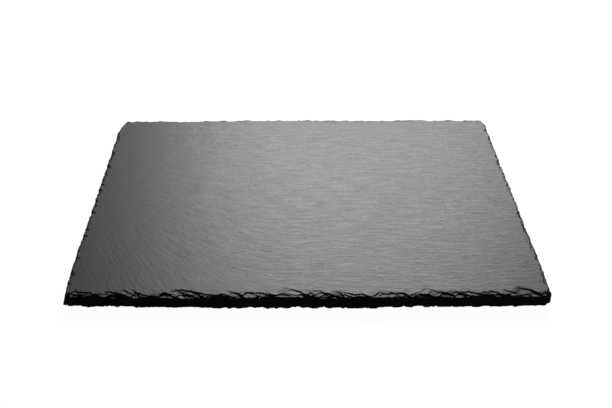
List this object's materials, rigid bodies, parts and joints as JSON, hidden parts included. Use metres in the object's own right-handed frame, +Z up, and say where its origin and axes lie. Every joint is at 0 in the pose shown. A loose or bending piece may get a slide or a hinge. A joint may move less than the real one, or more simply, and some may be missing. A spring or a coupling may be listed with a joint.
{
  "type": "serving board",
  "caption": "Rectangular slate serving board with a smooth riven top and a hand-dressed, flaked edge, standing on small stuck-on rubber feet.",
  "frame": {"origin": "on the table, under the middle of the board", "axes": "+X along the board's length to the right, +Y across it from the front edge to the back edge, +Z up out of the serving face"},
  "size_m": [0.3, 0.2184, 0.0112],
  "materials": {
    "slate": "riven, fine-grained, satin sheen, broken edge duller",
    "foot_rubber": "moulded, matt black",
    "adhesive": "translucent pressure-sensitive film"
  },
  "bodies": {
    "root": {"slate_slab": "slate", "foot_front_left": "foot_rubber", "foot_front_right": "foot_rubber", "foot_back_left": "foot_rubber", "foot_back_right": "foot_rubber", "adhesive_front_left": "adhesive", "adhesive_front_right": "adhesive", "adhesive_back_left": "adhesive", "adhesive_back_right": "adhesive"}
  },
  "joints": []
}
